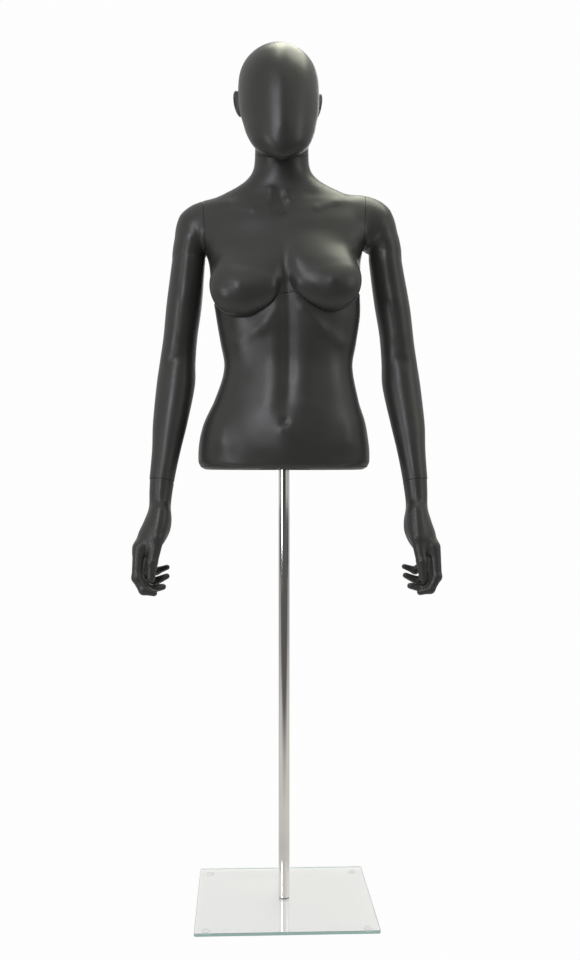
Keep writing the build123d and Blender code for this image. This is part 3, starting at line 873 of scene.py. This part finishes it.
def base_glass():
    """Clear float glass with the green of its iron showing along the ground edges."""
    m = Shader("base_glass")
    m.set(IOR=1.52)
    facing = m.nodes.new("ShaderNodeNewGeometry").outputs["Normal"]
    flat = m.maths("ABSOLUTE", m.part_of(facing, "Z"))
    m.feed(m.colours(flat, (0.50, 0.74, 0.68), (0.99, 0.988, 0.98), 0.5, 0.9), "Base Color")
    m.feed(m.between(flat, 0.25, 1.0, 0.5, 0.9), "Transmission Weight")
    m.feed(m.between(m.noise(14), 0.0, 0.025), "Roughness")
    return m.material


def chrome():
    """Polished chrome plate with faint drawing lines along the tube."""
    m = Shader("chrome")
    m.set(Metallic=1.0)
    m.feed(m.colours(m.noise(12), (0.80, 0.775, 0.745), (0.86, 0.835, 0.80)), "Base Color")
    m.feed(m.between(m.noise(90, 2.0, (1, 1, 0.03)), 0.05, 0.11), "Roughness")
    return m.material


def steel():
    """Zinc-plated steel of bolts and screws."""
    m = Shader("steel")
    m.set(Metallic=1.0)
    m.feed(m.colours(m.noise(160), (0.42, 0.42, 0.40), (0.58, 0.58, 0.55)), "Base Color")
    m.feed(m.between(m.noise(300), 0.28, 0.42), "Roughness")
    m.bump(m.noise(900), 0.00005, 0.4)
    return m.material


def clear_rubber():
    """Milky silicone of the corner feet, with a little painted glow in place of light from the
    floor.
    """
    m = Shader("clear_rubber")
    # Painted light: the feet glow a little, standing in for light from the floor that does not
    # reach them under the glass.
    m.set(Transmission_Weight=0.4, Emission_Color=(0.97, 0.98, 0.97, 1), Emission_Strength=0.2)
    m.feed(m.colours(m.noise(200), (0.97, 0.98, 0.975), (0.99, 0.99, 0.99)), "Base Color")
    m.feed(m.between(m.noise(350), 0.02, 0.08), "Roughness")
    return m.material


def black_rubber():
    """Dull black rubber of the gasket and washer."""
    m = Shader("black_rubber")
    m.feed(m.colours(m.noise(250), (0.012, 0.012, 0.012), (0.022, 0.022, 0.021)), "Base Color")
    m.feed(m.between(m.noise(120), 0.62, 0.8), "Roughness")
    m.bump(m.noise(1200), 0.00008, 0.5)
    return m.material


def black_plastic():
    """Moulded black plastic with a fine spark-eroded texture."""
    m = Shader("black_plastic")
    m.feed(m.colours(m.noise(60), (0.016, 0.016, 0.017), (0.024, 0.024, 0.024)), "Base Color")
    m.feed(m.between(m.noise(140), 0.38, 0.5), "Roughness")
    m.bump(m.noise(1500, 2.0), 0.00005, 0.6)
    return m.material


def board():
    """Wood fibreboard with flecks of darker fibre."""
    m = Shader("board")
    m.feed(m.colours(m.noise(380, 6.0), (0.17, 0.115, 0.07), (0.30, 0.21, 0.13)), "Base Color")
    m.feed(m.between(m.noise(90), 0.7, 0.85), "Roughness")
    m.bump(m.noise(700, 5.0), 0.00015, 0.6)
    return m.material


makers = (
    figure_paint, base_glass, chrome, steel, clear_rubber, black_rubber, black_plastic, board
)
materials = {maker.__name__: maker() for maker in makers}


# ---------------------------------------------------------------- the figure
def make_hips():
    """Lower torso: outer skin, and a hollow that opens through the bottom."""
    low, high = (-184, -116, RIM_Z - 4), (192, 126, 1248)
    hollow_low = (*low[:2], RIM_Z - 12)
    past = 8
    lip = 21
    lip_height = 8
    floor_height = 4
    top = split_plane()
    rim = ((0, 0, RIM_Z + 0.15), np.array((0, 0, -1.0)))

    def plain(p):
        return np.maximum(hips_solid(p), above(p, top, past))

    def seen(p):
        return np.maximum(hips_field(p), above(p, top, past))

    def hollow(p):
        trunk = trunk_distance(p, HIPS)
        room = np.maximum(trunk + SHELL, RIM_Z + floor_height - p[:, 2])
        mouth = np.maximum(trunk + lip, p[:, 2] - RIM_Z - lip_height)
        body = np.maximum(np.minimum(room, mouth), RIM_Z - 6 - p[:, 2])
        return np.maximum(body, above(p, top, past + HOLLOW_FURTHER))

    outer = skin(plain, low, high, TRUNK_CELL, seen)
    inner = skin(hollow, hollow_low, high, HOLLOW_CELL)
    piece("lower_torso_skin", [outer, inward(inner)], [top, rim], "torso_lower", "lower_torso")


def make_chest():
    """Upper torso: outer skin with a closed floor, and its hollow."""
    low, high = (-184, -140, 1156), (194, 116, 1530)
    past = 7
    seams = [neck_plane(), shoulder_plane(1), shoulder_plane(-1)]

    def plain(p):
        return within(p, chest_plain(p), seams, past)

    def seen(p):
        return within(p, chest_field(p), seams, past)

    def hollow(p):
        return within(p, chest_plain(p) + SHELL, seams, past + HOLLOW_FURTHER)

    outer = skin(plain, low, high, TRUNK_CELL, seen)
    inner = skin(hollow, low, high, HOLLOW_CELL)
    piece("upper_torso_skin", [outer, inward(inner)], seams, "torso_upper", "upper_torso")


def make_head():
    """Head with its length of neck, hollow, with its ears on."""
    low, high = (-106, -130, 1470), (90, 92, 1748)
    past = 7
    seams = [turned_over(moved(neck_plane(), SEAM_GAP))]

    def seen(p):
        return within(p, head_field(p), seams, past)

    def hollow(p):
        return within(p, head_plain(p) + SHELL, seams, past + HOLLOW_FURTHER)

    outer = skin(seen, low, high, HEAD_CELL)
    inner = skin(hollow, low, high, HOLLOW_CELL)
    piece("head_skin", [outer, inward(inner)], seams, "head_unit", "head")


def make_arm(side, name):
    """One arm, hollow between its shoulder and wrist seams."""
    nearest, farthest = side * 146.0, side * 304.0
    low = np.array((min(nearest, farthest), -64, 820))
    high = np.array((max(nearest, farthest), 84, 1452))
    past = 7
    seams = [turned_over(moved(shoulder_plane(side), SEAM_GAP)), wrist_plane(side)]

    def plain(p):
        return within(p, arm_plain(p, side), seams, past)

    def seen(p):
        return within(p, arm_plain(p, side) - arm_relief(p, side), seams, past)

    def hollow(p):
        return within(p, arm_plain(p, side) + SHELL, seams, past + HOLLOW_FURTHER)

    outer = skin(plain, low, high, ARM_CELL, seen)
    inner = skin(hollow, low, high, ARM_HOLLOW_CELL)
    piece(f"{name}_arm_skin", [outer, inward(inner)], seams, f"arm_{name}", f"{name}_arm")


def make_hand(side, name):
    """One solid hand that starts at the wrist seam and takes the wrist pin."""
    corners = np.array((limb_point(side, 222, -90, 618), limb_point(side, 316, 18, 866)))
    low, high = corners.min(axis=0), corners.max(axis=0)
    past = 4
    point, normal = wrist_plane(side)
    seams = [turned_over(moved(wrist_plane(side), SEAM_GAP))]

    def seen(p):
        along = (p - point) @ normal
        off_axis = np.linalg.norm(p - point - along[:, None] * normal, axis=1)
        pin = np.maximum(off_axis - PIN_RADIUS, along - PIN_DEPTH)
        return within(p, np.maximum(hand_distance(p, side), -pin), seams, past)

    hand = skin(seen, low, high, HAND_CELL)
    piece(f"{name}_hand_skin", [hand], seams, f"hand_{name}", f"{name}_hand", HAND_SMOOTH_ANGLE)


make_hips()
make_chest()
make_head()
for limb_side, limb_name in ((1, "left"), (-1, "right")):
    make_arm(limb_side, limb_name)
    make_hand(limb_side, limb_name)


# ---------------------------------------------------------------- finish of the CAD nodes
for entry in frame["record"]["subparts"]:
    node = frame["nodes"][entry["node"]]
    node.data.materials.clear()
    node.data.materials.append(materials[entry["material_slot"]])


# ---------------------------------------------------------------- room, lights and camera
SHOWN_WHITE = 0.985
DARK = 0.03
# Name, place, point it faces, size, power in watts, colour
LIGHTS = [
    ("top_strip", (0.02, 0.25, 3.4), (0, 0, 1.3), (0.25, 1.3), 9, (0.98, 1.0, 0.78)),
    ("top_softbox", (0.6, 0.55, 3.2), (0, 0, 1.3), (2.0, 1.2), 34, (0.99, 1.0, 0.82)),
    ("front_strip", (-0.85, -2.4, 2.15), (0, 0, 1.35), (0.5, 1.8), 23, (0.94, 0.93, 1.0)),
    ("left_strip", (-2.1, -1.9, 0.95), (0, 0, 1.0), (0.6, 0.8), 12, (0.93, 0.93, 1.0)),
    ("right_fill", (2.6, -1.2, 1.9), (0, 0, 1.1), (1.0, 1.4), 6, (1.0, 1.0, 0.94)),
    ("back_light", (0.4, 2.8, 2.2), (0, 0, 1.2), (1.8, 1.6), 16, (1.0, 1.0, 1.0)),
]


def make_floor():
    """Pale floor: white to look at, grey as a light, and dark in front for the pole to mirror."""
    mesh = bmesh.new()
    bmesh.ops.create_grid(mesh, x_segments=8, y_segments=8, size=30)
    data = bpy.data.meshes.new("floor")
    mesh.to_mesh(data)
    mesh.free()
    floor = bpy.data.objects.new("floor", data)
    bpy.context.scene.collection.objects.link(floor)
    m = Shader("floor_white")
    m.set(Roughness=0.9, Emission_Color=(1, 1, 1, 1))
    depth = m.maths("ADD", m.part_of(m.place, "Y"), m.between(m.noise(3), -0.02, 0.02))
    behind = m.between(depth, 0.0, 1.0, -1.9, -0.6)
    m.feed(m.colours(behind, (DARK, DARK, DARK), (0.51, 0.51, 0.51), 0.0, 1.0), "Base Color")
    # Painted light: seen through the glass the floor glows more, standing in for the lamp light
    # that the glass keeps off it.
    path = m.nodes.new("ShaderNodeLightPath")
    through_glass = path.outputs["Is Transmission Ray"]
    m.feed(m.between(through_glass, 0.06, 0.56, 0.0, 1.0), "Emission Strength")
    white = m.nodes.new("ShaderNodeEmission")
    white.inputs["Strength"].default_value = SHOWN_WHITE
    mix = m.nodes.new("ShaderNodeMixShader")
    m.links.new(path.outputs["Is Camera Ray"], mix.inputs["Fac"])
    m.links.new(m.surface.outputs["BSDF"], mix.inputs[1])
    m.links.new(white.outputs["Emission"], mix.inputs[2])
    m.links.new(mix.outputs["Shader"], m.nodes["Material Output"].inputs["Surface"])
    data.materials.append(m.material)


def make_world():
    """Surroundings that show white, light the figure less, and are dark in front of it."""
    world = bpy.data.worlds.new("studio")
    bpy.context.scene.world = world
    world.use_nodes = True
    nodes, links = world.node_tree.nodes, world.node_tree.links
    nodes.clear()
    direction = nodes.new("ShaderNodeTexCoord")
    split = nodes.new("ShaderNodeSeparateXYZ")
    links.new(direction.outputs["Generated"], split.inputs["Vector"])
    front = nodes.new("ShaderNodeMapRange")
    front.inputs["From Min"].default_value = -1.0
    front.inputs["From Max"].default_value = -0.6
    front.inputs["To Min"].default_value = DARK
    front.inputs["To Max"].default_value = 0.6
    links.new(split.outputs["Y"], front.inputs["Value"])
    lit = nodes.new("ShaderNodeBackground")
    lit.inputs["Color"].default_value = (1, 1, 1, 1)
    links.new(front.outputs["Result"], lit.inputs["Strength"])
    shown = nodes.new("ShaderNodeBackground")
    shown.inputs["Color"].default_value = (SHOWN_WHITE, SHOWN_WHITE, SHOWN_WHITE, 1)
    path = nodes.new("ShaderNodeLightPath")
    mix = nodes.new("ShaderNodeMixShader")
    links.new(path.outputs["Is Camera Ray"], mix.inputs["Fac"])
    links.new(lit.outputs["Background"], mix.inputs[1])
    links.new(shown.outputs["Background"], mix.inputs[2])
    output = nodes.new("ShaderNodeOutputWorld")
    links.new(mix.outputs["Shader"], output.inputs["Surface"])


def make_light(name, place, target, size, power, colour):
    """Soft rectangular light that faces its target."""
    data = bpy.data.lights.new(name, "AREA")
    data.shape = "RECTANGLE"
    data.size, data.size_y = size
    data.energy = power
    data.color = colour
    lamp = bpy.data.objects.new(name, data)
    bpy.context.scene.collection.objects.link(lamp)
    lamp.location = place
    lamp.rotation_euler = (Vector(target) - Vector(place)).to_track_quat("-Z", "Y").to_euler()


def make_camera():
    """Camera level with the middle of the figure, a little to its right."""
    height = 0.855
    distance = 2.27
    turn = math.radians(2.5)
    aside = 0.012
    data = bpy.data.cameras.new("camera")
    data.lens = 42.04
    data.sensor_width = 36.0
    camera = bpy.data.objects.new("camera", data)
    bpy.context.scene.collection.objects.link(camera)
    camera.location = (
        -distance * math.sin(turn) + aside * math.cos(turn),
        -distance * math.cos(turn) - aside * math.sin(turn),
        height,
    )
    camera.rotation_euler = (math.radians(90), 0, -turn)
    bpy.context.scene.camera = camera


make_floor()
make_world()
for light in LIGHTS:
    make_light(*light)
make_camera()
bpy.context.scene.view_settings.view_transform = "Standard"
